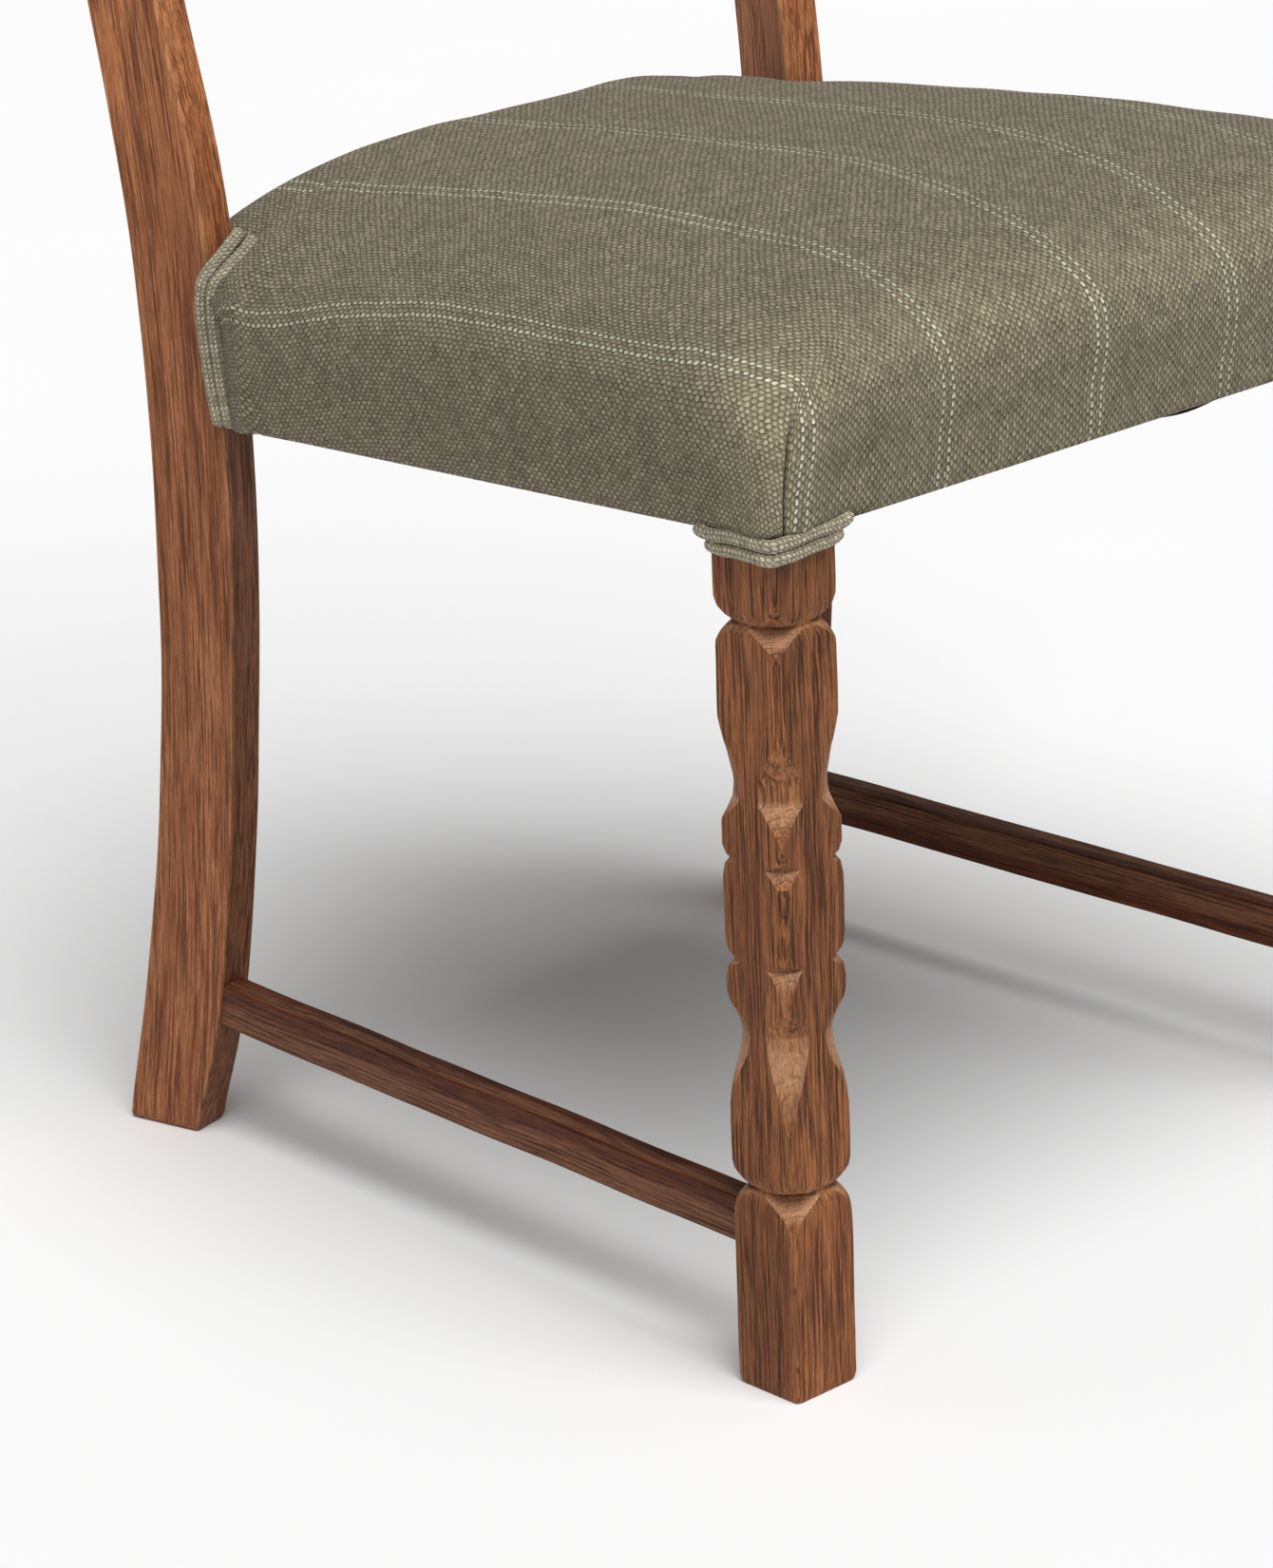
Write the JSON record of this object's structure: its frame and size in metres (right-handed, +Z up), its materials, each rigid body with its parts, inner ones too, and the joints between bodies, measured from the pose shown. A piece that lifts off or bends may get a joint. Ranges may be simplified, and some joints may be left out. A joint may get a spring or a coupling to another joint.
{
  "type": "upholstered side chair",
  "caption": "Oak dining chair with a stuffed fabric seat, carved square front legs, curved rear posts and a bowed ladder back.",
  "frame": {"origin": "on the floor under the middle of the chair's bounding box", "axes": "+Z up, the chair faces -Y, +X is to the right of a person looking at its front"},
  "size_m": [0.481, 0.5318, 0.92],
  "materials": {
    "oak": "smoked oak, oiled, open grain",
    "dark_oak": "darker smoked oak, oiled, open grain",
    "frame_wood": "raw beech, planed",
    "steel": "zinc-plated screws",
    "jute": "woven jute",
    "foam": "matte seat foam",
    "tweed": "coarse grey-olive plain weave with pale dashed stripes",
    "cambric": "thin black non-woven dust cover"
  },
  "bodies": {
    "root": {"crest_rail": "oak", "dust_cover": "cambric", "front_block_screw_left_a": "steel", "front_block_screw_left_b": "steel", "front_block_screw_right_a": "steel", "front_block_screw_right_b": "steel", "front_corner_block_left": "frame_wood", "front_corner_block_right": "frame_wood", "front_leg_left": "oak", "front_leg_right": "oak", "front_rail": "frame_wood", "front_welt_left_lower": "tweed", "front_welt_left_upper": "tweed", "front_welt_right_lower": "tweed", "front_welt_right_upper": "tweed", "hessian": "jute", "lower_slat": "oak", "middle_slat": "oak", "rear_block_screw_left_a": "steel", "rear_block_screw_left_b": "steel", "rear_block_screw_right_a": "steel", "rear_block_screw_right_b": "steel", "rear_corner_block_left": "frame_wood", "rear_corner_block_right": "frame_wood", "rear_leg_left": "oak", "rear_leg_right": "oak", "rear_rail": "frame_wood", "rear_welt_left_back": "tweed", "rear_welt_left_front": "tweed", "rear_welt_right_back": "tweed", "rear_welt_right_front": "tweed", "seat_cover": "tweed", "seat_foam": "foam", "side_rail_left": "frame_wood", "side_rail_right": "frame_wood", "side_stretcher_left": "dark_oak", "side_stretcher_right": "dark_oak", "webbing_crosswise_1": "jute", "webbing_crosswise_2": "jute", "webbing_crosswise_3": "jute", "webbing_lengthwise_1": "jute", "webbing_lengthwise_2": "jute", "webbing_lengthwise_3": "jute"}
  },
  "joints": []
}
